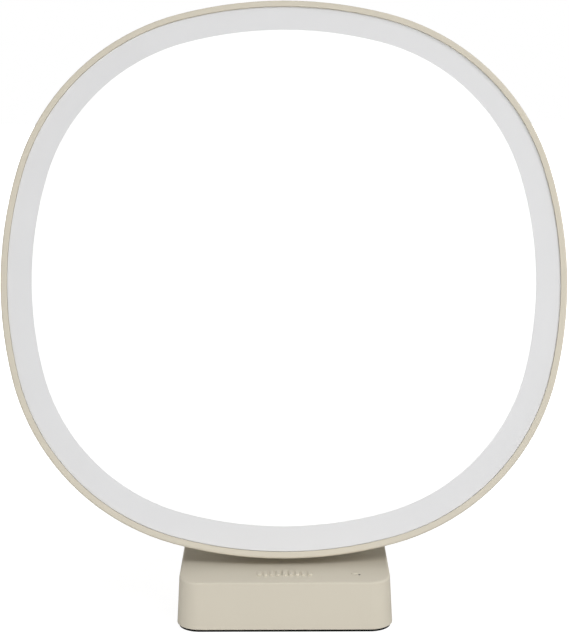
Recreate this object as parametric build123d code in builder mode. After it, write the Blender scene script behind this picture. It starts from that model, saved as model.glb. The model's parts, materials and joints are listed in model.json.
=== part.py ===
from build123d import *
import os
from math import atan2, copysign, cos, degrees, hypot, radians, sin, sqrt, tan

# A light therapy lamp: a rounded-square light panel that leans back over a low wedge base.
# A neck rises from the base behind the panel and carries it on a friction tilt hinge.
# Front faces -Y, +Z is up, and the origin is the centre of the foot pad's underside.

# ---------------------------------------------------------------- driving dimensions, mm and degrees
# base casing
base_width = 122.4
base_depth = 132.0
base_corner_radius = 13.6
base_front_height = 27.1
base_top_slope = 4.0
base_draft = 3.2
base_wall = 2.4
base_top_edge_round = 1.2
base_bottom_edge_round = 0.5
foot_pad_thickness = 1.4
foot_pad_inset = 1.1
base_plate_thickness = 3.0
base_screw_side = 6.7
base_screw_end = 24.0
base_boss_radius = 4.4
base_screw_length = 9.0

# ballast
ballast_width = 84.0
ballast_depth = 104.0
ballast_thickness = 6.0
ballast_corner_radius = 8.0
ballast_screw_x = 34.0
ballast_screw_y = 42.0
ballast_screw_length = 6.0

# head outline, at its widest
head_half_width = 167.5
head_side_radius = 243.6
head_corner_radius = 135.4
head_lean = 18.7
rim_setback = 26.0
rim_gap = 4.0

# head casing, with depths counted backwards from the widest outline
edge_radius = 1.2
side_taper = 18.0
lip_width = 3.8
lip_step = 1.2
seam_depth = 9.0
seam_gap = 0.5
seam_tongue_reach = 2.0
seam_tongue_wall = 1.6
head_depth = 26.0
back_edge_radius = 16.0
head_wall = 2.4
cover_screw_inset = 25.0
cover_screw_count = 8
cover_post_radius = 4.8
cover_post_height = 3.6
cover_recess_depth = 4.0
vent_length = 20.0
vent_width = 2.4
vent_pitch = 8.0
vent_count = 11
vent_rise = 104.0
lower_vent_count = 4
lower_vent_gap = 9.0
lower_vent_drop = 112.0

# light panel
ring_gap = 0.08
ring_inset = 18.3
ring_thickness = 2.2
ring_edge_round = 0.15
ledge_inset = 11.0
ledge_thickness = 1.5
diffuser_thickness = 3.0
diffuser_flange_width = 12.6
panel_clearance = 0.1
film_thickness = 0.3
gasket_thickness = 0.5
gasket_width = 5.0
gasket_inset = 12.0
frame_flange_thickness = 2.0
frame_wall = 1.5
cavity_mouth_inset = 18.0
cavity_floor_inset = 30.0
cavity_depth = 13.0
frame_floor_width = 6.0
led_board_thickness = 1.6
led_pitch = 30.0
led_rows = 9
led_size = 5.0
led_height = 0.7
led_margin = 12.0
board_screw_count = 8
stake_count = 12
stake_radius = 1.4
stake_head_radius = 2.4
stake_head_height = 0.9

# driver in the head
driver_width = 96.0
driver_height = 52.0
driver_rise = 22.0
driver_thickness = 1.6
driver_post_height = 4.0
driver_post_radius = 3.0
driver_hole_edge = 5.0
driver_part_height = 2.8
driver_coil_size = 12.0
driver_coil_x = 30.0
driver_coil_rise = 8.0
capacitor_radius = 4.0
capacitor_pitch = 11.0
capacitor_drop = 10.0
connector_x = 29.0
connector_width = 12.0
connector_height = 7.0

# hinge
hinge_drop = 70.0
barrel_radius = 11.0
barrel_clearance = 1.5
cheek_gap = 1.5
cheek_width = 14.0
cheek_foot = 52.0
cheek_wall = 2.0
cheek_edge_round = 2.2
pin_radius = 4.0
pin_bore_radius = 2.0
pin_clearance = 0.05
pin_head_radius = 6.4
pin_head_height = 2.6
pin_tail = 1.4
pin_slot_length = 9.0
pin_slot_width = 3.4
arm_thickness = 3.0
arm_setback = 1.5
arm_eye_radius = 8.6
arm_plate_thickness = 2.0
arm_plate_width = 24.0
arm_plate_height = 60.0
arm_plate_corner = 3.0
hinge_screw_spacing = 38.0
hinge_screw_length = 9.0
washer_radius = 7.4
washer_thickness = 1.0
nut_across_flats = 11.0
nut_height = 4.6

# neck
neck_width = 58.0
neck_foot_depth = 32.0
neck_foot_shift = 4.0
neck_wall = 2.0
neck_end_wall = 2.4
neck_edge_round = 3.6
neck_washer_hole_radius = 8.0
neck_screw_x = 17.0
neck_screw_drops = (28.0, 60.0)
neck_post_radius = 4.6
neck_recess_radius = 3.2
neck_screw_seat = 9.5
neck_screw_length = 14.0
spine_thickness = 3.0
spine_eye_radius = 8.5
spine_web_setback = 2.0
spine_web_drop = 6.0
spine_foot_depth = 34.0
spine_bolt_x = 18.0
spine_bolt_spacing = 19.0
bolt_radius = 2.0
bolt_head_radius = 3.5
bolt_head_height = 2.4
bolt_length = 8.0

# leads
lead_radius = 1.2
lead_bend = 2.8
lead_notch_width = 5.0
lead_notch_height = 7.0

# controls in the sloped top
relief_bars = 9
relief_pitch = 3.6
relief_bar_width = 2.4
relief_shortest = 5.0
relief_longest = 7.6
relief_height = 0.7
relief_edge_round = 0.35
relief_setback = 11.0
button_radius = 2.1
button_gap = 0.12
button_proud = 0.3
button_travel = 0.5
button_side = 21.5
button_setback = 15.0
button_flange_radius = 2.6
button_flange_thickness = 1.2
button_rest_gap = 0.1
button_edge_round = 0.25
plunger_radius = 1.2
plunger_length = 1.6
indicator_radius = 0.6
indicator_shift = 2.6
indicator_advance = 2.5
pipe_flange_radius = 0.85
pipe_flange_thickness = 0.8
control_board_width = 44.0
control_board_height = 22.0
control_board_shift = 12.7
control_board_setback = 16.5
control_board_thickness = 1.6
control_board_drop = 8.2
control_post_radius = 2.3
control_hole_edge = 3.0
control_screw_length = 6.0
switch_size = 4.0
switch_height = 3.4
dome_thickness = 0.3
status_led_length = 1.6
status_led_width = 0.8
status_led_height = 0.7
chip_size = 7.0
chip_height = 1.2
chip_pitch = 10.0
chip_shift = 21.7
socket_width = 8.0
socket_depth = 5.0
socket_height = 5.0
neck_socket_shift = 21.7

# power inlet
inlet_neck_gap = 1.5
inlet_height = 16.5
inlet_recess_radius = 6.6
inlet_recess_depth = 7.4
inlet_wall = 2.0
inlet_barrel_radius = 4.0
inlet_bore_radius = 2.85
inlet_bore_depth = 9.5
inlet_pin_radius = 1.0
inlet_pin_recess = 0.8
inlet_body_size = 11.0
inlet_body_length = 12.0
inlet_nut_across_flats = 10.0
inlet_nut_height = 1.8
inlet_thread_end = 0.4

# fasteners and fits
screw_radius = 1.25
screw_head_radius = 2.6
screw_head_height = 1.8
screw_way = 0.35
screw_sink = 0.1
cross_length = 2.6
cross_width = 0.6
cross_depth = 1.0
thread_gap = 0.02
fit_gap = 0.3

# ---------------------------------------------------------------- places worked out from them
lean = radians(head_lean)
slope = radians(base_top_slope)
draft = radians(base_draft)
taper = radians(side_taper)

base_bottom = foot_pad_thickness
front_y = -base_depth / 2
up = Vector(0, sin(lean), cos(lean))
back = Vector(0, cos(lean), -sin(lean))


def base_top_height(y):
    """Height of the sloped top above the ground at y."""
    return base_bottom + base_front_height + (y - front_y) * tan(slope)


rim_y = front_y + rim_setback
rim_bottom = Vector(0, rim_y, base_top_height(rim_y) + rim_gap)
head_centre = rim_bottom + up * head_half_width
hinge_depth = head_depth + barrel_radius + barrel_clearance
hinge = head_centre - up * hinge_drop + back * hinge_depth

head_frame = Plane(origin=head_centre, x_dir=(-1, 0, 0), z_dir=back)
head_frame_forward = Plane(origin=head_centre, x_dir=(1, 0, 0), z_dir=-back)
back_axis = Axis(head_centre, back)
hinge_leaning = Plane(origin=hinge, x_dir=up, z_dir=(1, 0, 0))
hinge_upright = Plane(origin=hinge, x_dir=(0, 1, 0), z_dir=(1, 0, 0))
top_frame = Plane(
    origin=(0, front_y, base_bottom + base_front_height),
    x_dir=(1, 0, 0),
    z_dir=(0, -sin(slope), cos(slope)),
)
top_axis = Axis(top_frame.origin, top_frame.z_dir)

# head outline: where its arcs are centred and meet
side_centre = head_side_radius - head_half_width
arc_gap = head_side_radius - head_corner_radius
corner_centre = (sqrt(2 * arc_gap**2 - side_centre**2) - side_centre) / 2
side_sweep = degrees(atan2(corner_centre, corner_centre + side_centre))
edge_flare = edge_radius * (cos(taper) + (1 + sin(taper)) * tan(taper) - 1)

# head section, front to back
ring_front = lip_step - edge_radius
ledge_front = ring_front + ring_thickness
ledge_back = ledge_front + ledge_thickness
diffuser_back = ring_front + diffuser_thickness
frame_front = ledge_back + gasket_thickness
frame_flange_back = ledge_back + frame_flange_thickness
cavity_angle = degrees(atan2(cavity_floor_inset - cavity_mouth_inset, cavity_depth - frame_front))
cavity_wall_inset = frame_wall / cos(radians(cavity_angle))
frame_floor_front = cavity_depth - frame_wall
board_back = cavity_depth + led_board_thickness
cover_front = seam_depth + seam_gap
inner_back = head_depth - head_wall
cover_post_front = inner_back - cover_post_height
cover_screw_seat = head_depth - cover_recess_depth
driver_back = inner_back - driver_post_height
driver_front = driver_back - driver_thickness

# hinge, from the middle outwards
barrel_end = neck_width / 2
spine_ear_end = barrel_end - neck_end_wall - fit_gap
spine_ear_start = spine_ear_end - spine_thickness
cheek_start = barrel_end + cheek_gap
cheek_middle = cheek_start + cheek_width / 2
arm_start = cheek_start + arm_setback
arm_end = arm_start + arm_thickness
pin_head_start = arm_end + pin_clearance
washer_starts = (spine_ear_end + pin_clearance, arm_start - pin_clearance - washer_thickness)
spring_start = washer_starts[0] + washer_thickness + pin_clearance
spring_thickness = washer_starts[1] - pin_clearance - spring_start
arm_reach = hinge_depth - inner_back + arm_plate_thickness
cheek_reach = barrel_radius + barrel_clearance
head_lead_x = cheek_start + cheek_width - cheek_wall - fit_gap - lead_radius

# base, bottom to top
ballast_bottom = base_bottom + base_plate_thickness
ballast_top = ballast_bottom + ballast_thickness
spine_foot_top = ballast_top + spine_thickness
neck_foot_y = hinge.Y + neck_foot_shift
neck_bottom = spine_foot_top - hinge.Z
neck_length = hypot(neck_foot_shift, neck_bottom)
neck_axis = Vector(0, neck_foot_shift, neck_bottom) / neck_length
neck_frame = Plane(origin=hinge, x_dir=(-1, 0, 0), z_dir=(0, -neck_axis.Z, neck_axis.Y))
neck_frame_forward = Plane(origin=hinge, x_dir=(1, 0, 0), z_dir=(0, neck_axis.Z, -neck_axis.Y))
plate_screw_seat = base_bottom + screw_head_height + screw_sink
base_tall = base_top_height(base_depth / 2)
base_screw_x = base_width / 2 - base_screw_side
base_screw_y = base_depth / 2 - base_screw_end
button_x = base_width / 2 - button_side
indicator_x = button_x + indicator_shift
indicator_setback = button_setback - indicator_advance
control_board_x = button_x - control_board_shift
chip_x = button_x - chip_shift
neck_socket_x = button_x - neck_socket_shift
inlet_x = barrel_end + inlet_neck_gap + inlet_body_size / 2
board_top = -control_board_drop
board_bottom = board_top - control_board_thickness
flange_top = -base_wall - button_rest_gap
flange_bottom = flange_top - button_flange_thickness
inlet_mouth_y = base_depth / 2 - (inlet_height - base_bottom) * tan(draft)
inlet_floor_y = inlet_mouth_y - inlet_recess_depth


def base_face(inset):
    """The base's outline at its bottom, moved inwards by inset."""
    with BuildSketch(Plane.XY.offset(base_bottom)) as face:
        RectangleRounded(base_width - 2 * inset, base_depth - 2 * inset, base_corner_radius - inset)
    return face.sketch


def knuckle(plane, radius, foot_width, foot_shift, foot_reach, bore=0):
    """A hinge knuckle's side view: a barrel round the plane's origin, hulled to a flat foot."""
    with BuildSketch(plane) as profile:
        with BuildLine():
            CenterArc((0, 0), radius, 0, 360)
            Line((foot_shift - foot_width / 2, foot_reach), (foot_shift + foot_width / 2, foot_reach))
        make_hull()
        if bore:
            Circle(bore, mode=Mode.SUBTRACT)
    return profile.sketch


def neck_profile(plane, inset):
    """The neck's side view, moved inwards by inset."""
    return knuckle(plane, barrel_radius - inset, neck_foot_depth - 2 * inset, neck_foot_shift, neck_bottom)


def head_plane(depth):
    """The plane across the head at this depth, facing back, with its y up the panel."""
    return head_frame.offset(depth)


def head_plane_forward(depth):
    """The plane across the head at this depth, facing forward."""
    return head_frame_forward.offset(-depth)


def in_head(x, rise, depth):
    """The point at x across, rise up the panel from its middle, and this depth."""
    return head_centre + Vector(x, 0, 0) + up * rise + back * depth


def in_top(x, setback, height):
    """The point at x across, setback along the sloped top from its front, and this height off it."""
    return top_frame.origin + Vector(x, 0, 0) + top_frame.y_dir * setback + top_frame.z_dir * height


def inlet_plane(y):
    """The plane across the power inlet at y, facing out of the base's back."""
    return Plane(origin=(inlet_x, y, inlet_height), x_dir=(-1, 0, 0), z_dir=(0, 1, 0))


def side_inset(depth):
    """How far the head's tapered side stands inside the widest outline at this depth."""
    return (edge_radius + depth) * tan(taper) - edge_flare


def head_arcs(inset):
    """The head's outline, moved inwards by inset: four side arcs and four corner arcs, all tangent."""
    with BuildLine() as arcs:
        for turn in (0, 90, 180, 270):
            side = Vector(-side_centre, 0).rotate(Axis.Z, turn)
            corner = Vector(corner_centre, corner_centre).rotate(Axis.Z, turn)
            CenterArc(side, head_side_radius - inset, turn - side_sweep, 2 * side_sweep)
            CenterArc(corner, head_corner_radius - inset, turn + side_sweep, 90 - 2 * side_sweep)
    return arcs.edges()


def head_face(depth, inset):
    """A filled head outline at this depth."""
    with BuildSketch(head_plane(depth)) as face:
        make_face(head_arcs(inset))
    return face.sketch


def head_ring(depth, inset, hole_inset):
    """The band between two head outlines at this depth."""
    with BuildSketch(head_plane(depth)) as ring:
        make_face(head_arcs(inset))
        make_face(head_arcs(hole_inset), mode=Mode.SUBTRACT)
    return ring.sketch


def reach(ray, centre, radius):
    """Distance from the middle of the outline along a ray to an arc about centre."""
    along = ray.dot(centre)
    return along + sqrt(along**2 - centre.dot(centre) + radius**2)


def outline_point(angle, inset):
    """The point of the head's outline, moved inwards by inset, in this direction from its middle."""
    turn = 90 * round(angle / 90)
    ray = Vector(1, 0).rotate(Axis.Z, angle - turn)
    point = ray * reach(ray, Vector(-side_centre, 0), head_side_radius - inset)
    if abs(degrees(atan2(point.Y, point.X + side_centre))) > side_sweep:
        corner = Vector(corner_centre, copysign(corner_centre, ray.Y))
        point = ray * reach(ray, corner, head_corner_radius - inset)
    return point.rotate(Axis.Z, turn)


def outline_points(count, inset, first_angle):
    """Points spread round the head's outline."""
    return [outline_point(first_angle + 360 / count * i, inset) for i in range(count)]


def discs(plane, points, radius):
    """Round faces on the plane, one at each point."""
    with BuildSketch(plane) as faces:
        with Locations(*points):
            Circle(radius)
    return faces.sketch


def posts(plane, points, radius, height):
    """Round posts that run from the plane along its normal."""
    extrude(discs(plane, points, radius), amount=height)


def holes(plane, points, radius, depth):
    """Round holes that run from the plane along its normal."""
    extrude(discs(plane, points, radius), amount=depth, mode=Mode.SUBTRACT)


def screws(plane, points, length):
    """Cross-head screws whose heads sit behind the plane and whose shanks run along its normal."""
    posts(plane, points, screw_radius, length)
    posts(plane, points, screw_head_radius, -screw_head_height)
    with BuildSketch(plane.offset(-screw_head_height)) as crosses:
        with Locations(*points):
            Rectangle(cross_length, cross_width)
            Rectangle(cross_width, cross_length)
    extrude(crosses.sketch, amount=cross_depth, mode=Mode.SUBTRACT)


def corners(x, y, width, height):
    """The four corners of a rectangle about (x, y)."""
    return [(x + i * width / 2, y + j * height / 2) for i in (-1, 1) for j in (-1, 1)]


def washers(start, thickness):
    """Flat rings on the hinge pin, one on each side of the neck."""
    for side in (-1, 1):
        with BuildSketch(hinge_upright.offset(side * start)) as ring:
            Circle(washer_radius)
            Circle(pin_radius + pin_clearance, mode=Mode.SUBTRACT)
        extrude(ring.sketch, amount=side * thickness)


def lead(*points):
    """A round lead through the points, with an arc at each corner."""
    with BuildLine() as route:
        FilletPolyline(*points, radius=lead_bend)
    with BuildSketch(Plane(origin=route.line @ 0, z_dir=route.line % 0)) as section:
        Circle(lead_radius)
    sweep(section.sketch, path=route.line)


cover_screw_points = outline_points(cover_screw_count, cover_screw_inset, 22.5)
stake_inset = (ledge_inset + side_inset(ledge_back) + head_wall) / 2
stake_points = outline_points(stake_count, stake_inset, 15)
board_screw_points = outline_points(board_screw_count, cavity_floor_inset + frame_floor_width / 2, 0)
driver_points = corners(
    0,
    driver_rise,
    driver_width - 2 * driver_hole_edge,
    driver_height - 2 * driver_hole_edge,
)
vent_points = [(vent_pitch * (i - (vent_count - 1) / 2), vent_rise) for i in range(vent_count)]
for i in range(lower_vent_count):
    lower_vent_x = neck_width / 2 + lower_vent_gap + vent_pitch * i
    vent_points += [(-lower_vent_x, -lower_vent_drop), (lower_vent_x, -lower_vent_drop)]
arm_x = arm_start + arm_thickness / 2
cheek_screw_points = corners(0, -hinge_drop, 2 * cheek_middle, hinge_screw_spacing)
base_screw_points = corners(0, 0, 2 * base_screw_x, 2 * base_screw_y)
ballast_screw_points = corners(0, 0, 2 * ballast_screw_x, 2 * ballast_screw_y)
spine_bolt_points = corners(0, neck_foot_y, 2 * spine_bolt_x, spine_bolt_spacing)
control_points = corners(
    control_board_x,
    control_board_setback,
    control_board_width - 2 * control_hole_edge,
    control_board_height - 2 * control_hole_edge,
)
neck_screw_points = [(x * neck_screw_x, -drop) for x in (-1, 1) for drop in neck_screw_drops]

# ---------------------------------------------------------------- head: casing
with BuildPart() as head_bezel:
    extrude(head_face(-edge_radius, -edge_flare), amount=edge_radius + seam_depth, taper=side_taper)
    fillet(head_bezel.edges().group_by(back_axis)[0], edge_radius)
    extrude(head_face(-edge_radius, lip_width), amount=edge_radius + ledge_front, mode=Mode.SUBTRACT)
    extrude(head_face(ledge_front, ledge_inset), amount=seam_depth - ledge_front, mode=Mode.SUBTRACT)
    extrude(
        head_face(ledge_back, side_inset(ledge_back) + head_wall),
        amount=seam_depth - ledge_back,
        taper=side_taper,
        mode=Mode.SUBTRACT,
    )
    posts(head_plane(ledge_back), stake_points, stake_radius, frame_flange_thickness)
    posts(head_plane(frame_flange_back), stake_points, stake_head_radius, stake_head_height)

with BuildPart() as cover_hollow:
    extrude(
        head_face(cover_front, side_inset(cover_front) + head_wall),
        amount=inner_back - cover_front,
        taper=side_taper,
    )
    fillet(cover_hollow.edges().group_by(back_axis)[-1], back_edge_radius - head_wall)

with BuildPart() as rear_cover:
    cover_outline = head_face(cover_front, side_inset(cover_front))
    extrude(cover_outline, amount=head_depth - cover_front, taper=side_taper)
    fillet(rear_cover.edges().group_by(back_axis)[-1], back_edge_radius)
    add(cover_hollow.part, mode=Mode.SUBTRACT)
    # tongue that locates the cover inside the bezel
    tongue_inset = side_inset(seam_depth) + head_wall + fit_gap
    extrude(
        head_ring(seam_depth - seam_tongue_reach, tongue_inset, tongue_inset + seam_tongue_wall),
        amount=seam_tongue_reach + head_wall + seam_tongue_wall,
    )
    # posts for the cover's own screws, recessed from behind
    posts(head_plane(cover_post_front), cover_screw_points, cover_post_radius, cover_post_height)
    holes(head_plane(cover_screw_seat), cover_screw_points, screw_head_radius + fit_gap, cover_recess_depth)
    holes(head_plane(cover_post_front), cover_screw_points, screw_radius + screw_way, cover_post_height)
    # posts for the driver board
    posts(head_plane(driver_back), driver_points, driver_post_radius, driver_post_height)
    holes(head_plane(driver_back), driver_points, screw_radius + thread_gap, driver_post_height)
    # slots for the hinge arms, the way for their screws and for the leads
    with BuildSketch(head_plane(inner_back)):
        with Locations((-arm_x, -hinge_drop), (arm_x, -hinge_drop)):
            Rectangle(arm_thickness + 2 * fit_gap, 2 * (arm_eye_radius + fit_gap))
    extrude(amount=head_wall, mode=Mode.SUBTRACT)
    holes(head_plane(inner_back), cheek_screw_points, screw_radius + screw_way, head_wall)
    holes(head_plane(inner_back), [(-head_lead_x, -hinge_drop)], 2 * lead_radius, head_wall)
    # vents
    with BuildSketch(head_plane(inner_back)):
        with Locations(*vent_points):
            SlotOverall(vent_length, vent_width, rotation=90)
    extrude(amount=head_wall, mode=Mode.SUBTRACT)

with BuildPart() as cover_screws:
    screws(head_plane_forward(cover_screw_seat), cover_screw_points, cover_screw_seat - cavity_depth)

# ---------------------------------------------------------------- head: light panel
with BuildPart() as front_ring:
    extrude(head_ring(ring_front, lip_width + ring_gap, ring_inset), amount=ring_thickness)
    outer_edges = front_ring.edges().group_by(back_axis)[0].sort_by(SortBy.LENGTH)[-8:]
    fillet(outer_edges, ring_edge_round)

with BuildPart() as diffuser:
    extrude(head_face(ring_front, ring_inset + panel_clearance), amount=diffuser_thickness)
    flange_inset = ledge_inset + fit_gap
    flange = head_ring(ledge_front, flange_inset, flange_inset + diffuser_flange_width)
    extrude(flange, amount=ledge_thickness)

with BuildPart() as diffuser_film:
    extrude(head_face(diffuser_back, flange_inset + diffuser_flange_width + fit_gap), amount=film_thickness)

with BuildPart() as diffuser_gasket:
    extrude(head_ring(ledge_back, gasket_inset, gasket_inset + gasket_width), amount=gasket_thickness)

with BuildPart() as reflector_frame:
    extrude(
        head_face(frame_front, cavity_mouth_inset - cavity_wall_inset),
        amount=cavity_depth - frame_front,
        taper=cavity_angle,
    )
    frame_inset = side_inset(frame_flange_back) + head_wall + fit_gap
    inner_flange = head_ring(frame_front, frame_inset, cavity_mouth_inset - cavity_wall_inset / 2)
    extrude(inner_flange, amount=frame_flange_back - frame_front)
    extrude(
        head_face(frame_front, cavity_mouth_inset),
        amount=cavity_depth - frame_front,
        taper=cavity_angle,
        mode=Mode.SUBTRACT,
    )
    extrude(head_ring(ledge_back, frame_inset, ledge_inset), amount=frame_flange_thickness)
    holes(head_plane(ledge_back), stake_points, stake_radius + thread_gap, frame_flange_thickness)
    # floor that the board is screwed to, and the posts for the cover's screws
    floor_outer_inset = cover_screw_inset - cover_post_radius - frame_wall
    floor_inner_inset = cavity_floor_inset + frame_floor_width
    extrude(head_ring(frame_floor_front, floor_outer_inset, floor_inner_inset), amount=frame_wall)
    posts(head_plane(cavity_depth), cover_screw_points, cover_post_radius, cover_post_front - cavity_depth)
    holes(
        head_plane(cavity_depth),
        cover_screw_points,
        screw_radius + thread_gap,
        cover_post_front - cavity_depth,
    )
    holes(head_plane(frame_floor_front), board_screw_points, screw_radius + thread_gap, frame_wall)

with BuildPart() as led_board:
    extrude(head_face(cavity_depth, cavity_floor_inset), amount=led_board_thickness)
    holes(head_plane(cavity_depth), board_screw_points, screw_radius + screw_way, led_board_thickness)

led_grid = [
    (led_pitch * (column - led_rows // 2), led_pitch * (row - led_rows // 2))
    for column in range(led_rows)
    for row in range(led_rows)
]
led_points = [
    (x, y)
    for x, y in led_grid
    if hypot(x, y) < outline_point(degrees(atan2(y, x)), cavity_floor_inset + led_margin).length
]
with BuildPart() as led_chips:
    with BuildSketch(head_plane(cavity_depth)):
        with Locations(*led_points):
            Rectangle(led_size, led_size)
    extrude(amount=-led_height)

with BuildPart() as led_board_screws:
    screws(head_plane_forward(board_back), board_screw_points, led_board_thickness + frame_wall)

# ---------------------------------------------------------------- head: driver
with BuildPart() as driver_board:
    with BuildSketch(head_plane(driver_front)):
        with Locations((0, driver_rise)):
            Rectangle(driver_width, driver_height)
    extrude(amount=driver_thickness)
    holes(head_plane(driver_front), driver_points, screw_radius + screw_way, driver_thickness)

with BuildPart() as driver_screws:
    driver_screw_length = driver_thickness + driver_post_height - fit_gap
    screws(head_plane(driver_front), driver_points, driver_screw_length)

with BuildPart() as driver_coils:
    with BuildSketch(head_plane(driver_front)):
        with Locations(*[(x * driver_coil_x, driver_rise + driver_coil_rise) for x in (-1, 0, 1)]):
            RectangleRounded(driver_coil_size, driver_coil_size, driver_coil_size / 4)
    extrude(amount=-driver_part_height)

with BuildPart() as driver_capacitors:
    capacitor_points = [(x * capacitor_pitch, driver_rise - capacitor_drop) for x in (-2, -1, 0, 1, 2)]
    posts(head_plane(driver_front), capacitor_points, capacitor_radius, -driver_part_height)

with BuildPart() as driver_connector:
    connector_rise = driver_rise - driver_height / 2 + connector_height / 2
    with BuildSketch(head_plane_forward(driver_front)):
        with Locations((connector_x, connector_rise)):
            Rectangle(connector_width, connector_height)
    extrude(amount=driver_part_height)

with BuildPart() as head_lead:
    lead_depth = driver_front - driver_part_height / 2
    lead(
        hinge + Vector(pin_head_start + pin_head_height + fit_gap, 0, 0),
        hinge + Vector(head_lead_x, 0, 0),
        in_head(head_lead_x, -hinge_drop, lead_depth),
        in_head(head_lead_x, -hinge_drop / 2, lead_depth),
        in_head(connector_x, connector_rise - connector_height, lead_depth),
        in_head(connector_x, connector_rise - connector_height / 2, lead_depth),
    )

# ---------------------------------------------------------------- hinge
hinge_arms = {}
hinge_cheeks = {}
for name, side in {"left": -1, "right": 1}.items():
    with BuildPart() as hinge_arm:
        with BuildSketch(head_plane(inner_back)):
            with Locations((-side * arm_x, -hinge_drop)):
                RectangleRounded(arm_plate_width, arm_plate_height, arm_plate_corner)
        extrude(amount=-arm_plate_thickness)
        with BuildSketch(hinge_leaning.offset(side * arm_start)):
            Circle(arm_eye_radius)
            with Locations((0, arm_reach / 2)):
                Rectangle(2 * arm_eye_radius, arm_reach)
            Circle(pin_radius + pin_clearance, mode=Mode.SUBTRACT)
        extrude(amount=side * arm_thickness)
        plate_front = head_plane(inner_back - arm_plate_thickness)
        holes(plate_front, cheek_screw_points, screw_radius + screw_way, arm_plate_thickness)
        holes(plate_front, [(-head_lead_x, -hinge_drop)], 2 * lead_radius, arm_plate_thickness)
    hinge_arms[name] = hinge_arm

    with BuildPart() as hinge_cheek:
        cheek_plane = hinge_leaning.offset(side * cheek_start)
        extrude(knuckle(cheek_plane, barrel_radius, cheek_foot, 0, cheek_reach), amount=side * cheek_width)
        outer_face = hinge_cheek.faces().sort_by(Axis.X)[-1 if side > 0 else 0]
        fillet(outer_face.edges().sort_by(back_axis)[1:], cheek_edge_round)
        with BuildSketch(cheek_plane):
            Circle(barrel_radius - cheek_wall)
            with Locations((0, cheek_reach / 2)):
                Rectangle(2 * (barrel_radius - cheek_wall), cheek_reach)
        extrude(amount=side * (cheek_width - cheek_wall), mode=Mode.SUBTRACT)
        screw_reach = hinge_screw_length - arm_plate_thickness - head_wall + fit_gap
        holes(head_plane(head_depth), cheek_screw_points, screw_radius + thread_gap, screw_reach)
    hinge_cheeks[name] = hinge_cheek

with BuildPart() as hinge_screws:
    screws(head_plane(inner_back - arm_plate_thickness), cheek_screw_points, hinge_screw_length)

with BuildPart() as hinge_pin:
    pin_tail_x = -(pin_head_start + nut_height + pin_tail)
    pin_end_x = pin_head_start + pin_head_height
    posts(hinge_upright.offset(pin_tail_x), [(0, 0)], pin_radius, pin_head_start - pin_tail_x)
    posts(hinge_upright.offset(pin_head_start), [(0, 0)], pin_head_radius, pin_head_height)
    holes(hinge_upright.offset(pin_tail_x), [(0, 0)], pin_bore_radius, pin_end_x - pin_tail_x)
    with BuildSketch(Plane.XY.offset(hinge.Z)):
        with Locations((pin_slot_length / 4, hinge.Y)):
            SlotOverall(pin_slot_length, pin_slot_width)
    extrude(amount=-pin_radius, mode=Mode.SUBTRACT)

with BuildPart() as hinge_nut:
    with BuildSketch(hinge_upright.offset(-pin_head_start)):
        RegularPolygon(nut_across_flats / 2, 6, major_radius=False)
        Circle(pin_radius + thread_gap, mode=Mode.SUBTRACT)
    extrude(amount=-nut_height)

with BuildPart() as friction_washers:
    for start in washer_starts:
        washers(start, washer_thickness)

with BuildPart() as disc_springs:
    washers(spring_start, spring_thickness)

# ---------------------------------------------------------------- neck
front_post_end = spine_web_setback - fit_gap
rear_post_end = spine_web_setback + spine_thickness + fit_gap
with BuildPart() as neck_hollow:
    extrude(neck_profile(hinge_upright, neck_wall), amount=barrel_end - neck_end_wall, both=True)
    # the screw posts are left standing in it
    holes(neck_frame.offset(front_post_end), neck_screw_points, neck_post_radius, -neck_foot_depth)
    holes(neck_frame.offset(rear_post_end), neck_screw_points, neck_post_radius, neck_foot_depth)

with BuildPart() as neck_shell:
    extrude(neck_profile(hinge_upright, 0), amount=barrel_end, both=True)
    end_edges = neck_shell.faces().filter_by(Axis.X).edges()
    foot_edges = end_edges.group_by(Axis.Z)[0]
    fillet([edge for edge in end_edges if edge not in foot_edges], neck_edge_round)
    add(neck_hollow.part, mode=Mode.SUBTRACT)
    holes(hinge_upright.offset(-barrel_end), [(0, 0)], neck_washer_hole_radius, neck_width)
    screw_run = neck_screw_seat - rear_post_end
    holes(neck_frame.offset(neck_screw_seat), neck_screw_points, neck_recess_radius, neck_foot_depth)
    holes(neck_frame.offset(rear_post_end), neck_screw_points, screw_radius + screw_way, screw_run)

with BuildPart() as neck_front:
    add(neck_shell.part)
    split(bisect_by=neck_frame, keep=Keep.BOTTOM)
    posts(neck_frame, neck_screw_points, neck_post_radius, front_post_end)
    thread_run = front_post_end - neck_screw_seat + neck_screw_length + fit_gap
    holes(neck_frame.offset(front_post_end), neck_screw_points, screw_radius + thread_gap, -thread_run)
    # way out for the lead
    with BuildSketch(Plane.XY.offset(spine_foot_top)):
        with Locations((0, neck_foot_y)):
            Rectangle(lead_notch_width, neck_foot_depth, align=(Align.CENTER, Align.MAX))
    extrude(amount=lead_notch_height, mode=Mode.SUBTRACT)

with BuildPart() as neck_rear:
    add(neck_shell.part)
    split(bisect_by=neck_frame, keep=Keep.TOP)
    holes(neck_frame, neck_screw_points, neck_post_radius, front_post_end)

with BuildPart() as neck_screws:
    screws(neck_frame_forward.offset(-neck_screw_seat), neck_screw_points, neck_screw_length)

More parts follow.
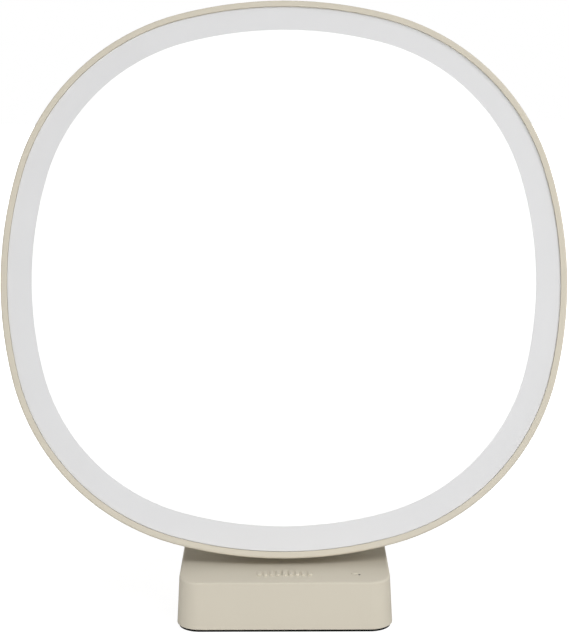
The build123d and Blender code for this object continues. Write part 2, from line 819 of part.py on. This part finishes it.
with BuildPart() as neck_spine:
    ear_foot = neck_foot_depth - 2 * (neck_wall + barrel_radius - neck_wall - spine_eye_radius)
    for side in (-1, 1):
        ear = knuckle(
            hinge_upright.offset(side * spine_ear_start),
            spine_eye_radius,
            ear_foot,
            neck_foot_shift,
            neck_bottom,
            pin_radius + pin_clearance,
        )
        extrude(ear, amount=side * spine_thickness)
    with BuildSketch(neck_frame.offset(spine_web_setback)):
        with Locations((0, -spine_web_drop)):
            web_length = neck_length + spine_thickness / 2 - spine_web_drop
            Rectangle(2 * spine_ear_start, web_length, align=(Align.CENTER, Align.MAX))
    extrude(amount=spine_thickness)
    holes(
        neck_frame.offset(spine_web_setback),
        neck_screw_points,
        screw_radius + screw_way,
        spine_thickness,
    )
    with BuildSketch(Plane.XY.offset(ballast_top)):
        with Locations((0, neck_foot_y)):
            Rectangle(2 * spine_ear_end, spine_foot_depth)
    extrude(amount=spine_thickness)
    holes(Plane.XY.offset(ballast_top), spine_bolt_points, bolt_radius + screw_way, spine_thickness)

with BuildPart() as spine_bolts:
    posts(Plane.XY.offset(spine_foot_top), spine_bolt_points, bolt_radius, -bolt_length)
    posts(Plane.XY.offset(spine_foot_top), spine_bolt_points, bolt_head_radius, bolt_head_height)

# ---------------------------------------------------------------- base: casing
with BuildPart() as base_hollow:
    extrude(base_face(base_wall), amount=base_tall, taper=base_draft)
    split(bisect_by=top_frame.offset(-base_wall), keep=Keep.BOTTOM)
    # the screw posts and the inlet's cup are left standing in it
    holes(Plane.XY.offset(ballast_bottom), base_screw_points, base_boss_radius, base_tall)
    holes(top_frame.offset(board_top), control_points, control_post_radius, control_board_drop)
    cup_plane = inlet_plane(inlet_floor_y - inlet_wall)
    holes(cup_plane, [(0, 0)], inlet_recess_radius + inlet_wall, inlet_recess_depth + inlet_wall)

with BuildPart() as base_shell:
    extrude(base_face(0), amount=base_tall, taper=base_draft)
    split(bisect_by=top_frame, keep=Keep.BOTTOM)
    fillet(base_shell.edges().group_by(top_axis)[-1], base_top_edge_round)
    fillet(base_shell.edges().group_by(Axis.Z)[0], base_bottom_edge_round)
    add(base_hollow.part, mode=Mode.SUBTRACT)
    # way through for the neck
    extrude(
        neck_profile(hinge_upright, -fit_gap),
        amount=barrel_end + fit_gap,
        both=True,
        mode=Mode.SUBTRACT,
    )
    # relief bars, longest in the middle
    with BuildSketch(top_frame):
        middle = (relief_bars - 1) / 2
        for i in range(relief_bars):
            length = relief_longest - (relief_longest - relief_shortest) * abs(i - middle) / middle
            with Locations((relief_pitch * (i - middle), relief_setback + length / 2)):
                SlotOverall(length, relief_bar_width, rotation=90)
    extrude(amount=relief_height)
    fillet(base_shell.edges().group_by(top_axis)[-1], relief_edge_round)
    # openings for the button, the light pipe and the power inlet
    holes(top_frame, [(button_x, button_setback)], button_radius + button_gap, -base_wall)
    holes(top_frame, [(indicator_x, indicator_setback)], indicator_radius + panel_clearance, -base_wall)
    holes(inlet_plane(inlet_floor_y), [(0, 0)], inlet_recess_radius, inlet_recess_depth + inlet_wall)
    holes(cup_plane, [(0, 0)], inlet_barrel_radius + thread_gap, inlet_wall)
    # screw holes
    holes(
        Plane.XY.offset(ballast_bottom),
        base_screw_points,
        screw_radius + thread_gap,
        base_screw_length,
    )
    thread_depth = control_screw_length - control_board_thickness + 2 * fit_gap
    holes(top_frame.offset(board_top), control_points, screw_radius + thread_gap, thread_depth)

with BuildPart() as base_plate:
    extrude(base_face(base_wall + fit_gap), amount=base_plate_thickness, taper=base_draft)
    plate_points = base_screw_points + ballast_screw_points
    holes(Plane.XY.offset(base_bottom), plate_points, screw_radius + screw_way, base_plate_thickness)
    recess_depth = plate_screw_seat - base_bottom
    holes(Plane.XY.offset(base_bottom), plate_points, screw_head_radius + fit_gap, recess_depth)

with BuildPart() as foot_pad:
    with BuildSketch():
        RectangleRounded(
            base_width - 2 * foot_pad_inset,
            base_depth - 2 * foot_pad_inset,
            base_corner_radius - foot_pad_inset,
        )
        with Locations(*base_screw_points):
            Circle(screw_head_radius + fit_gap, mode=Mode.SUBTRACT)
    extrude(amount=foot_pad_thickness)

with BuildPart() as base_screws:
    screws(Plane.XY.offset(plate_screw_seat), base_screw_points, base_screw_length)

# ---------------------------------------------------------------- base: ballast
with BuildPart() as ballast:
    with BuildSketch(Plane.XY.offset(ballast_bottom)):
        RectangleRounded(ballast_width, ballast_depth, ballast_corner_radius)
    extrude(amount=ballast_thickness)
    holes(
        Plane.XY.offset(ballast_top),
        spine_bolt_points,
        bolt_radius + thread_gap,
        -(bolt_length - spine_thickness + fit_gap),
    )
    thread_depth = plate_screw_seat + ballast_screw_length + fit_gap - ballast_bottom
    holes(Plane.XY.offset(ballast_bottom), ballast_screw_points, screw_radius + thread_gap, thread_depth)

with BuildPart() as ballast_screws:
    screws(Plane.XY.offset(plate_screw_seat), ballast_screw_points, ballast_screw_length)

# ---------------------------------------------------------------- base: controls
button_point = (button_x, button_setback)
indicator_point = (indicator_x, indicator_setback)

with BuildPart() as power_button:
    posts(top_frame.offset(flange_top), [button_point], button_radius, button_proud - flange_top)
    fillet(power_button.edges().group_by(top_axis)[-1], button_edge_round)
    posts(top_frame.offset(flange_bottom), [button_point], button_flange_radius, button_flange_thickness)

with BuildPart() as switch_plunger:
    posts(top_frame.offset(flange_bottom), [button_point], plunger_radius, -plunger_length)

with BuildPart() as switch_body:
    with BuildSketch(top_frame.offset(board_top)):
        with Locations(button_point):
            Rectangle(switch_size, switch_size)
    extrude(amount=switch_height)
    pressed_bottom = flange_bottom - plunger_length - button_travel
    well_floor = pressed_bottom - panel_clearance - dome_thickness
    holes(top_frame.offset(well_floor), [button_point], plunger_radius + fit_gap, switch_height)

with BuildPart() as switch_dome:
    posts(top_frame.offset(well_floor), [button_point], plunger_radius, dome_thickness)

with BuildPart() as status_led:
    with BuildSketch(top_frame.offset(board_top)):
        with Locations(indicator_point):
            Rectangle(status_led_width, status_led_length)
    extrude(amount=status_led_height)

with BuildPart() as light_pipe:
    pipe_bottom = board_top + status_led_height + fit_gap
    posts(top_frame.offset(pipe_bottom), [indicator_point], indicator_radius, -pipe_bottom)
    posts(
        top_frame.offset(-base_wall),
        [indicator_point],
        pipe_flange_radius,
        -pipe_flange_thickness,
    )

with BuildPart() as control_board:
    with BuildSketch(top_frame.offset(board_bottom)):
        with Locations((control_board_x, control_board_setback)):
            Rectangle(control_board_width, control_board_height)
    extrude(amount=control_board_thickness)
    holes(top_frame.offset(board_bottom), control_points, screw_radius + screw_way, control_board_thickness)

with BuildPart() as control_screws:
    screws(top_frame.offset(board_bottom), control_points, control_screw_length)

with BuildPart() as control_chips:
    with BuildSketch(top_frame.offset(board_top)):
        with Locations((chip_x, control_board_setback), (chip_x + chip_pitch, control_board_setback)):
            Rectangle(chip_size, chip_size)
    extrude(amount=chip_height)

with BuildPart() as board_sockets:
    socket_setback = control_board_setback + control_board_height / 2
    with BuildSketch(top_frame.offset(board_bottom)):
        with Locations((neck_socket_x, socket_setback), (inlet_x, socket_setback)):
            Rectangle(socket_width, socket_depth, align=(Align.CENTER, Align.MAX))
    extrude(amount=-socket_height)

# ---------------------------------------------------------------- base: power inlet
with BuildPart() as dc_jack:
    jack_seat = inlet_plane(inlet_floor_y - inlet_wall)
    barrel_length = inlet_wall + inlet_nut_height + inlet_thread_end
    with BuildSketch(jack_seat):
        Rectangle(inlet_body_size, inlet_body_size)
    extrude(amount=-inlet_body_length)
    posts(jack_seat, [(0, 0)], inlet_barrel_radius, barrel_length)
    bore_floor = jack_seat.offset(barrel_length - inlet_bore_depth)
    holes(bore_floor, [(0, 0)], inlet_bore_radius, inlet_bore_depth)
    posts(bore_floor, [(0, 0)], inlet_pin_radius, inlet_bore_depth - inlet_pin_recess)

with BuildPart() as jack_nut:
    with BuildSketch(inlet_plane(inlet_floor_y)):
        RegularPolygon(inlet_nut_across_flats / 2, 6, major_radius=False)
        Circle(inlet_barrel_radius + thread_gap, mode=Mode.SUBTRACT)
    extrude(amount=inlet_nut_height)

# ---------------------------------------------------------------- base: leads
lead_height = ballast_top + lead_radius + fit_gap
socket_middle = board_bottom - socket_height / 2
with BuildPart() as jack_lead:
    jack_back = inlet_floor_y - inlet_wall - inlet_body_length
    jack_socket = in_top(inlet_x, socket_setback, socket_middle)
    lead(
        (inlet_x, jack_back, inlet_height),
        (inlet_x, jack_back - 2 * lead_bend, inlet_height),
        (inlet_x, jack_back - 4 * lead_bend, lead_height),
        (inlet_x, jack_socket.Y + 5 * lead_bend, lead_height),
        jack_socket + top_frame.y_dir * 2 * lead_bend,
        jack_socket,
    )

with BuildPart() as neck_lead:
    neck_socket = in_top(neck_socket_x, socket_setback, socket_middle)
    notch_height = spine_foot_top + lead_notch_height / 2
    lead(
        hinge + Vector(pin_end_x, 0, 0),
        hinge,
        (0, hinge.Y, notch_height),
        (0, hinge.Y - neck_foot_depth, notch_height),
        (neck_socket_x, neck_socket.Y + neck_foot_depth, notch_height),
        neck_socket + top_frame.y_dir * 2 * lead_bend,
        neck_socket,
    )

pieces = {
    "head_bezel": head_bezel,
    "rear_cover": rear_cover,
    "cover_screws": cover_screws,
    "front_ring": front_ring,
    "diffuser": diffuser,
    "diffuser_film": diffuser_film,
    "diffuser_gasket": diffuser_gasket,
    "reflector_frame": reflector_frame,
    "led_board": led_board,
    "led_chips": led_chips,
    "led_board_screws": led_board_screws,
    "driver_board": driver_board,
    "driver_screws": driver_screws,
    "driver_coils": driver_coils,
    "driver_capacitors": driver_capacitors,
    "driver_connector": driver_connector,
    "head_lead": head_lead,
    "left_hinge_arm": hinge_arms["left"],
    "right_hinge_arm": hinge_arms["right"],
    "left_hinge_cheek": hinge_cheeks["left"],
    "right_hinge_cheek": hinge_cheeks["right"],
    "hinge_screws": hinge_screws,
    "hinge_pin": hinge_pin,
    "hinge_nut": hinge_nut,
    "friction_washers": friction_washers,
    "disc_springs": disc_springs,
    "neck_front": neck_front,
    "neck_rear": neck_rear,
    "neck_screws": neck_screws,
    "neck_spine": neck_spine,
    "spine_bolts": spine_bolts,
    "base_shell": base_shell,
    "base_plate": base_plate,
    "foot_pad": foot_pad,
    "base_screws": base_screws,
    "ballast": ballast,
    "ballast_screws": ballast_screws,
    "power_button": power_button,
    "switch_plunger": switch_plunger,
    "switch_body": switch_body,
    "switch_dome": switch_dome,
    "status_led": status_led,
    "light_pipe": light_pipe,
    "control_board": control_board,
    "control_screws": control_screws,
    "control_chips": control_chips,
    "board_sockets": board_sockets,
    "dc_jack": dc_jack,
    "jack_nut": jack_nut,
    "jack_lead": jack_lead,
    "neck_lead": neck_lead,
}

os.makedirs("parts", exist_ok=True)
for name, piece in pieces.items():
    piece.part.label = name
    export_step(piece.part, f"parts/{name}.step")
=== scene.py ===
import json
from math import pi, radians

import bmesh
import bpy
from mathutils import Matrix, Vector


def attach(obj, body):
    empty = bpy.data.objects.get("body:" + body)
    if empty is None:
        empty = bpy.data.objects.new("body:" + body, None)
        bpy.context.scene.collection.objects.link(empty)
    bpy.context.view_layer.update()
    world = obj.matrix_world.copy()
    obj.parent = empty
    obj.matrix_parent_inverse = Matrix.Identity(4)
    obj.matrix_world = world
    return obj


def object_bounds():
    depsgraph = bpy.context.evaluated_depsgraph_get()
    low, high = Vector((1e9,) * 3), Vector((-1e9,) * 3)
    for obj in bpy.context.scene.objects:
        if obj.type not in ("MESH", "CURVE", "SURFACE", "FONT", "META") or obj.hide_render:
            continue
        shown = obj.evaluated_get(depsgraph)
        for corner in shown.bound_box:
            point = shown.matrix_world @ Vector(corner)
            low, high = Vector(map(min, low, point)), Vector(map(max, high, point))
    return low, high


# The looks of a light therapy lamp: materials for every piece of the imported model, the mark on its
# power button, a plain pale floor, soft light and a camera. Lengths are in metres.

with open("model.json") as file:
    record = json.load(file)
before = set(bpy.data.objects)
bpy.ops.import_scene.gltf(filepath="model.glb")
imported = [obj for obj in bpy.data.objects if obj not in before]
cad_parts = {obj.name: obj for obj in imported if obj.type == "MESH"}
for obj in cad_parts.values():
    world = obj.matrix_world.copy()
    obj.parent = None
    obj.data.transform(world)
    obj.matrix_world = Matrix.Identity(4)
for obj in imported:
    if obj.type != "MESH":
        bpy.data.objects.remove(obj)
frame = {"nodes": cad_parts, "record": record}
cad_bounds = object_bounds()

MM = 0.001
WHITE = (1, 1, 1, 1)

# ---------------------------------------------------------------- view
PICTURE_WIDTH = 569
PICTURE_HEIGHT = 635
FOCAL_PIXELS = 1500
SENSOR_SIZE = 36.0
CAMERA_PLACE = Vector((0.0003, -0.8645, 0.3203))
CAMERA_PITCH = radians(-10.0)
CAMERA_ROLL = radians(-0.155)
NEAREST_SEEN = 0.05
FURTHEST_SEEN = 20


def make_camera():
    """The camera, in front of the lamp and a little lower than its top, tipped down a little."""
    data = bpy.data.cameras.new("camera")
    data.sensor_width = SENSOR_SIZE
    data.lens = SENSOR_SIZE * FOCAL_PIXELS / max(PICTURE_WIDTH, PICTURE_HEIGHT)
    data.clip_start = NEAREST_SEEN
    data.clip_end = FURTHEST_SEEN
    camera = bpy.data.objects.new("camera", data)
    camera.location = CAMERA_PLACE
    look = Matrix.Rotation(pi / 2 + CAMERA_PITCH, 4, "X") @ Matrix.Rotation(CAMERA_ROLL, 4, "Z")
    camera.rotation_euler = look.to_euler()
    bpy.context.scene.collection.objects.link(camera)
    bpy.context.scene.camera = camera
    bpy.context.scene.view_settings.view_transform = "Standard"


# ---------------------------------------------------------------- shader nodes
def math_node(tree, operation, first, second):
    """One Math node. Each of the two values is a socket or a number."""
    node = tree.nodes.new("ShaderNodeMath")
    node.operation = operation
    for value, socket in ((first, node.inputs[0]), (second, node.inputs[1])):
        if isinstance(value, (int, float)):
            socket.default_value = value
        else:
            tree.links.new(value, socket)
    return node.outputs[0]


def mix_shaders(tree, share, first, second):
    """Blend from the first shader to the second by a 0 to 1 share."""
    mix = tree.nodes.new("ShaderNodeMixShader")
    tree.links.new(share, mix.inputs["Fac"])
    tree.links.new(first, mix.inputs[1])
    tree.links.new(second, mix.inputs[2])
    return mix.outputs[0]


# ---------------------------------------------------------------- light and floor
WORLD_STRENGTH = 0.02
MIRRORED_SHARE = 0.4  # how white the surroundings look in a reflection
LAMP_WIDTH = 1.2
LAMPS = {  # place, height of the lamp's face, and power in watts
    "key": (Vector((1.2, -1.0, 1.8)), 1.2, 25.0),
    "front_fill": (Vector((0.1, -1.9, 0.15)), 0.28, 16.0),
    "low_left": (Vector((-1.4, -1.5, 0.15)), 0.28, 7.4),
    "overhead": (Vector((0, 0.2, 2.2)), 1.2, 6.0),
    "right_fill": (Vector((2.0, 0, 0.6)), 1.2, 8.6),
    "left_fill": (Vector((-2.0, 0, 0.6)), 1.2, 8.5),
    "back_fill": (Vector((0, 2.2, 0.16)), 0.28, 20.0),
}
FLOOR_SIZE = 6.0  # from the middle to each edge
FLOOR_WHITE = 0.5
FLOOR_GLOW = 1.46
SHADOW_REACH = (0.09, 0.40)  # shadows show fully up to the first distance, and fade out by the second
SHADOW_SHARE = 0.35


def seen_directly(tree):
    """1 for rays from the camera, less for those that a glossy surface mirrors, and 0 for the rest."""
    path = tree.nodes.new("ShaderNodeLightPath")
    mirrored = math_node(tree, "MULTIPLY", path.outputs["Is Glossy Ray"], MIRRORED_SHARE)
    return math_node(tree, "MAXIMUM", path.outputs["Is Camera Ray"], mirrored)


def make_world():
    """Faint even light all round, white where it is seen."""
    world = bpy.data.worlds.new("studio")
    world.use_nodes = True
    tree = world.node_tree
    tree.nodes.clear()
    light = tree.nodes.new("ShaderNodeBackground")
    light.inputs["Color"].default_value = WHITE
    light.inputs["Strength"].default_value = WORLD_STRENGTH
    shown = tree.nodes.new("ShaderNodeBackground")
    shown.inputs["Color"].default_value = WHITE
    mix = mix_shaders(tree, seen_directly(tree), light.outputs[0], shown.outputs[0])
    out = tree.nodes.new("ShaderNodeOutputWorld")
    tree.links.new(mix, out.inputs["Surface"])
    bpy.context.scene.world = world


def floor_material():
    """White where it is seen, with the lamp's shadow mixed in near the lamp."""
    material = bpy.data.materials.new("pale_floor")
    material.use_nodes = True
    tree = material.node_tree
    tree.nodes.clear()
    lit = tree.nodes.new("ShaderNodeBsdfDiffuse")
    lit.inputs["Color"].default_value = (FLOOR_WHITE, FLOOR_WHITE, FLOOR_WHITE, 1)
    shown = tree.nodes.new("ShaderNodeEmission")
    shown.inputs["Strength"].default_value = FLOOR_GLOW
    distance = tree.nodes.new("ShaderNodeVectorMath")
    distance.operation = "LENGTH"
    place = tree.nodes.new("ShaderNodeTexCoord").outputs["Object"]
    tree.links.new(place, distance.inputs[0])
    fade = tree.nodes.new("ShaderNodeMapRange")
    fade.interpolation_type = "SMOOTHSTEP"
    fade.inputs["From Min"].default_value, fade.inputs["From Max"].default_value = SHADOW_REACH
    fade.inputs["To Min"].default_value = 1 - SHADOW_SHARE
    fade.inputs["To Max"].default_value = 1
    tree.links.new(distance.outputs["Value"], fade.inputs["Value"])
    share = math_node(tree, "MULTIPLY", seen_directly(tree), fade.outputs["Result"])
    mix = mix_shaders(tree, share, lit.outputs[0], shown.outputs[0])
    out = tree.nodes.new("ShaderNodeOutputMaterial")
    tree.links.new(mix, out.inputs["Surface"])
    return material


def make_floor():
    """A pale floor under the foot pad."""
    mesh = bpy.data.meshes.new("floor")
    form = bmesh.new()
    bmesh.ops.create_grid(form, x_segments=1, y_segments=1, size=FLOOR_SIZE)
    form.to_mesh(mesh)
    form.free()
    mesh.materials.append(floor_material())
    floor = bpy.data.objects.new("floor", mesh)
    bpy.context.scene.collection.objects.link(floor)


def make_lamp(name, place, height, power):
    """A broad soft light that looks at the middle of the light therapy lamp."""
    data = bpy.data.lights.new(name, "AREA")
    data.shape = "RECTANGLE"
    data.size = LAMP_WIDTH
    data.size_y = height
    data.energy = power
    lamp = bpy.data.objects.new(name, data)
    lamp.location = place
    aim = (cad_bounds[0] + cad_bounds[1]) / 2 - place
    lamp.rotation_euler = aim.to_track_quat("-Z", "Y").to_euler()
    bpy.context.scene.collection.objects.link(lamp)


# ---------------------------------------------------------------- effects that materials share
LINE_STRETCH = 0.04  # a tool line's width over its length


def new_group(name, inputs, outputs):
    """An empty shader node group with float inputs and the outputs named."""
    tree = bpy.data.node_groups.new(name, "ShaderNodeTree")
    for label, value in inputs.items():
        socket = tree.interface.new_socket(label, in_out="INPUT", socket_type="NodeSocketFloat")
        socket.default_value = value
    for label in outputs:
        tree.interface.new_socket(label, in_out="OUTPUT", socket_type="NodeSocketFloat")
    return tree, tree.nodes.new("NodeGroupInput"), tree.nodes.new("NodeGroupOutput")


def noise_node(tree, place, size, detail):
    """A noise texture at a place, with blotches of a size that a socket gives."""
    node = tree.nodes.new("ShaderNodeTexNoise")
    node.inputs["Detail"].default_value = detail
    tree.links.new(place, node.inputs["Vector"])
    tree.links.new(math_node(tree, "DIVIDE", 1.0, size), node.inputs["Scale"])
    return node.outputs["Fac"]


def build_moulded_skin():
    """Spark-eroded mould texture: a fine even grain, and slow drifts in tone."""
    inputs = {"Grain Size": 0.4 * MM, "Drift Size": 50 * MM}
    tree, given, out = new_group("moulded_skin", inputs, ["Grain", "Drift"])
    place = tree.nodes.new("ShaderNodeTexCoord").outputs["Object"]
    grain = noise_node(tree, place, given.outputs["Grain Size"], detail=2)
    drift = noise_node(tree, place, given.outputs["Drift Size"], detail=3)
    tree.links.new(grain, out.inputs["Grain"])
    tree.links.new(drift, out.inputs["Drift"])
    return tree


def build_brushing():
    """Fine tool lines along a metal piece."""
    tree, given, out = new_group("brushing", {"Line Size": 0.2 * MM}, ["Lines"])
    stretch = tree.nodes.new("ShaderNodeMapping")
    stretch.inputs["Scale"].default_value = (1, LINE_STRETCH, 1)
    place = tree.nodes.new("ShaderNodeTexCoord").outputs["Object"]
    tree.links.new(place, stretch.inputs["Vector"])
    lines = noise_node(tree, stretch.outputs[0], given.outputs["Line Size"], detail=2)
    tree.links.new(lines, out.inputs["Lines"])
    return tree


moulded_skin = build_moulded_skin()
brushing = build_brushing()

# ---------------------------------------------------------------- materials
CASING = (0.638, 0.591, 0.491)
NOISE_RANGE = (0.3, 0.7)  # nearly all values of a noise texture lie in it
GRAIN_SIZE = 0.4 * MM
GRAIN_DEPTH = 0.012 * MM
DRIFT_SIZE = 60 * MM
TONE_DRIFT = 0.012
PLASTIC_SHINE = 0.15
PLASTIC_GLOSS_DRIFT = 0.05
LINE_SIZE = 0.15 * MM
LINE_TONES = (0.93, 1.05)
METAL_GLOSS_DRIFT = 0.08
OPAL_TONE = 0.77
OPAL_ROUGHNESS = 0.55
OPAL_GRAIN_SIZE = 0.3 * MM
OPAL_DRIFT_SIZE = 90 * MM
OPAL_GLOW = 0.28
OPAL_DIMMEST = 0.985


def blend_colours(tree, value, low, high):
    """Blend between two colours by a 0 to 1 value."""
    mix = tree.nodes.new("ShaderNodeMix")
    mix.data_type = "RGBA"
    tree.links.new(value, mix.inputs["Factor"])
    mix.inputs["A"].default_value = (*low, 1)
    mix.inputs["B"].default_value = (*high, 1)
    return mix.outputs["Result"]


def spread(tree, value, low, high):
    """Map a noise value on to a range."""
    node = tree.nodes.new("ShaderNodeMapRange")
    node.inputs["From Min"].default_value, node.inputs["From Max"].default_value = NOISE_RANGE
    node.inputs["To Min"].default_value = low
    node.inputs["To Max"].default_value = high
    tree.links.new(value, node.inputs["Value"])
    return node.outputs["Result"]


def new_material(name):
    """A material, its tree and its Principled shader."""
    material = bpy.data.materials.new(name)
    material.use_nodes = True
    tree = material.node_tree
    return material, tree, tree.nodes["Principled BSDF"]


def shade(colour, factor):
    """The colour, lighter or darker by a factor."""
    return tuple(min(1.0, c * factor) for c in colour)


def use_group(tree, group, values):
    """Place a shared effect in a material, with its own values."""
    node = tree.nodes.new("ShaderNodeGroup")
    node.node_tree = group
    for label, value in values.items():
        node.inputs[label].default_value = value
    return node.outputs


def plastic(
    name,
    colour,
    roughness,
    grain_size=GRAIN_SIZE,
    grain_depth=GRAIN_DEPTH,
    drift=TONE_DRIFT,
    shine=PLASTIC_SHINE,
):
    """Moulded plastic: an even colour that drifts slightly, with a fine mould grain."""
    material, tree, shader = new_material(name)
    skin = use_group(tree, moulded_skin, {"Grain Size": grain_size, "Drift Size": DRIFT_SIZE})
    tone = spread(tree, skin["Drift"], 0, 1)
    colours = blend_colours(tree, tone, shade(colour, 1 - drift), shade(colour, 1 + drift))
    tree.links.new(colours, shader.inputs["Base Color"])
    low, high = roughness - PLASTIC_GLOSS_DRIFT, roughness + PLASTIC_GLOSS_DRIFT
    tree.links.new(spread(tree, skin["Grain"], low, high), shader.inputs["Roughness"])
    shader.inputs["Specular IOR Level"].default_value = shine
    bump = tree.nodes.new("ShaderNodeBump")
    bump.inputs["Distance"].default_value = grain_depth
    tree.links.new(skin["Grain"], bump.inputs["Height"])
    tree.links.new(bump.outputs["Normal"], shader.inputs["Normal"])
    return material


def metal(name, colour, roughness):
    """Bare metal with fine tool lines."""
    material, tree, shader = new_material(name)
    lines = use_group(tree, brushing, {"Line Size": LINE_SIZE})["Lines"]
    shader.inputs["Metallic"].default_value = 1
    dark, light = (shade(colour, tone) for tone in LINE_TONES)
    colours = blend_colours(tree, spread(tree, lines, 0, 1), dark, light)
    tree.links.new(colours, shader.inputs["Base Color"])
    low, high = roughness - METAL_GLOSS_DRIFT, roughness + METAL_GLOSS_DRIFT
    tree.links.new(spread(tree, lines, low, high), shader.inputs["Roughness"])
    return material


def lit_diffuser():
    """Opal sheet lit evenly from behind."""
    material, tree, shader = new_material("lit_opal")
    skin = use_group(tree, moulded_skin, {"Grain Size": OPAL_GRAIN_SIZE, "Drift Size": OPAL_DRIFT_SIZE})
    shader.inputs["Base Color"].default_value = (OPAL_TONE, OPAL_TONE, OPAL_TONE, 1)
    shader.inputs["Roughness"].default_value = OPAL_ROUGHNESS
    glow = blend_colours(tree, spread(tree, skin["Drift"], 0, 1), (OPAL_DIMMEST,) * 3, WHITE[:3])
    tree.links.new(glow, shader.inputs["Emission Color"])
    shader.inputs["Emission Strength"].default_value = OPAL_GLOW
    return material


casing = plastic("beige_casing", CASING, 0.52)
materials = {
    "casing": casing,
    "rear_casing": casing,
    "ring": plastic("grey_ring", (0.73, 0.73, 0.735), 0.5),
    "diffuser": lit_diffuser(),
    "film": plastic("prism_film", (0.9, 0.9, 0.9), 0.3),
    "gasket": plastic("foam", (0.05, 0.05, 0.05), 0.9, grain_size=0.8 * MM, grain_depth=0.1 * MM),
    "reflector": plastic("white_reflector", (0.92, 0.92, 0.92), 0.35),
    "led_board": plastic("white_board", (0.85, 0.85, 0.85), 0.4),
    "led": plastic("phosphor", (0.95, 0.85, 0.45), 0.4),
    "board": plastic("green_board", (0.03, 0.16, 0.07), 0.35, drift=0.08),
    "component": plastic("black_moulding", (0.03, 0.03, 0.03), 0.4),
    "capacitor": metal("capacitor_can", (0.6, 0.6, 0.62), 0.3),
    "socket": plastic("ivory_nylon", (0.85, 0.83, 0.76), 0.5),
    "screw": metal("zinc_plate", (0.55, 0.55, 0.56), 0.35),
    "steel": plastic(
        "grey_powder_coat", (0.30, 0.30, 0.31), 0.6, grain_size=0.9 * MM, grain_depth=0.03 * MM
    ),
    "pin": metal("turned_steel", (0.62, 0.62, 0.63), 0.3),
    "friction": plastic("acetal", (0.80, 0.78, 0.72), 0.4),
    "ballast": plastic(
        "cast_iron", (0.12, 0.12, 0.12), 0.75, grain_size=1.2 * MM, grain_depth=0.08 * MM, drift=0.15
    ),
    # Black rubber foot pad. Its colour is darker than the rubber so that it also stands in for the
    # shade in the gap under the base: partly real rubber, partly painted shade.
    "pad": plastic(
        "black_pad_and_shade",
        (0.012, 0.012, 0.012),
        0.9,
        grain_size=0.9 * MM,
        grain_depth=0.05 * MM,
        drift=0.1,
        shine=0.05,
    ),
    "button": plastic("button_cap", CASING, 0.48, grain_size=0.25 * MM),
    "light_pipe": plastic("smoked_pipe", (0.06, 0.055, 0.045), 0.25),
    "jack": plastic("black_jack", (0.02, 0.02, 0.02), 0.35),
    "nut": metal("nickel", (0.6, 0.6, 0.6), 0.25),
    "lead": plastic("black_sheath", (0.03, 0.03, 0.03), 0.6),
}


def dress_nodes():
    """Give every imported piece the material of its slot."""
    for part in frame["record"]["subparts"]:
        piece = frame["nodes"][part["node"]]
        for place in piece.material_slots:
            place.material = materials[part["material_slot"]]


# ---------------------------------------------------------------- button mark
TOP_FRONT = Vector((0, -66.0, 28.5)) * MM  # where the planes of the base's top and front meet
TOP_SLOPE = radians(4.0)
BUTTON_X = 39.7 * MM
BUTTON_SETBACK = 15.0 * MM
BUTTON_PROUD = 0.3 * MM
MARK_RADIUS = 1.15 * MM
MARK_LINE = 0.34 * MM
MARK_HEIGHT = 0.12 * MM
MARK_SINK = 0.05 * MM
MARK_GAP = radians(76)
MARK_STEPS = 36
MARK_EDGE = 0.05 * MM
BAR_START = 0.35  # share of the mark's radius
SHARP = 1.0  # radians between two faces


def add_block(form, low, high):
    """A box between two corners, added to a bmesh."""
    box = bmesh.ops.create_cube(form, size=1)["verts"]
    bmesh.ops.scale(form, vec=high - low, verts=box)
    bmesh.ops.translate(form, vec=(low + high) / 2, verts=box)


def add_piece(name, form, body, material):
    """Make a finished piece of a bmesh, with its material, and let it ride on a body."""
    bmesh.ops.recalc_face_normals(form, faces=form.faces)
    mesh = bpy.data.meshes.new(name)
    form.to_mesh(mesh)
    form.free()
    mesh.materials.append(materials[material])
    piece = bpy.data.objects.new(name, mesh)
    bpy.context.scene.collection.objects.link(piece)
    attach(piece, body)


def make_button_mark():
    """A raised power mark on the button's cap: an open ring, and a bar in its gap."""
    form = bmesh.new()
    section = bmesh.ops.create_grid(form, x_segments=1, y_segments=1, size=0.5)["verts"]
    bmesh.ops.scale(form, vec=(MARK_LINE, MARK_HEIGHT + MARK_SINK, 1), verts=section)
    bmesh.ops.rotate(form, matrix=Matrix.Rotation(pi / 2, 3, "X"), verts=section)
    bmesh.ops.translate(form, vec=(MARK_RADIUS, 0, (MARK_HEIGHT - MARK_SINK) / 2), verts=section)
    bmesh.ops.rotate(form, matrix=Matrix.Rotation(pi / 2 + MARK_GAP / 2, 3, "Z"), verts=section)
    bmesh.ops.spin(
        form,
        geom=form.verts[:] + form.edges[:] + form.faces[:],
        cent=(0, 0, 0),
        axis=(0, 0, 1),
        angle=2 * pi - MARK_GAP,
        steps=MARK_STEPS,
    )
    low = Vector((-MARK_LINE / 2, MARK_RADIUS * BAR_START, -MARK_SINK))
    high = Vector((MARK_LINE / 2, MARK_RADIUS + MARK_LINE, MARK_HEIGHT))
    add_block(form, low, high)
    bmesh.ops.remove_doubles(form, verts=form.verts, dist=0.001 * MM)
    upper = [
        edge
        for edge in form.edges
        if all(v.co.z > MARK_HEIGHT / 2 for v in edge.verts) and edge.calc_face_angle(0) > SHARP
    ]
    bmesh.ops.bevel(
        form, geom=upper, offset=MARK_EDGE, affect="EDGES", segments=2, profile=0.5, material=-1
    )
    tilt = Matrix.Rotation(TOP_SLOPE, 4, "X")
    place = TOP_FRONT + tilt @ Vector((BUTTON_X, BUTTON_SETBACK, BUTTON_PROUD))
    form.transform(Matrix.Translation(place) @ tilt)
    add_piece("power_mark", form, "power_button", "button")


make_camera()
make_world()
make_floor()
for name, (place, height, power) in LAMPS.items():
    make_lamp(name, place, height, power)
dress_nodes()
make_button_mark()
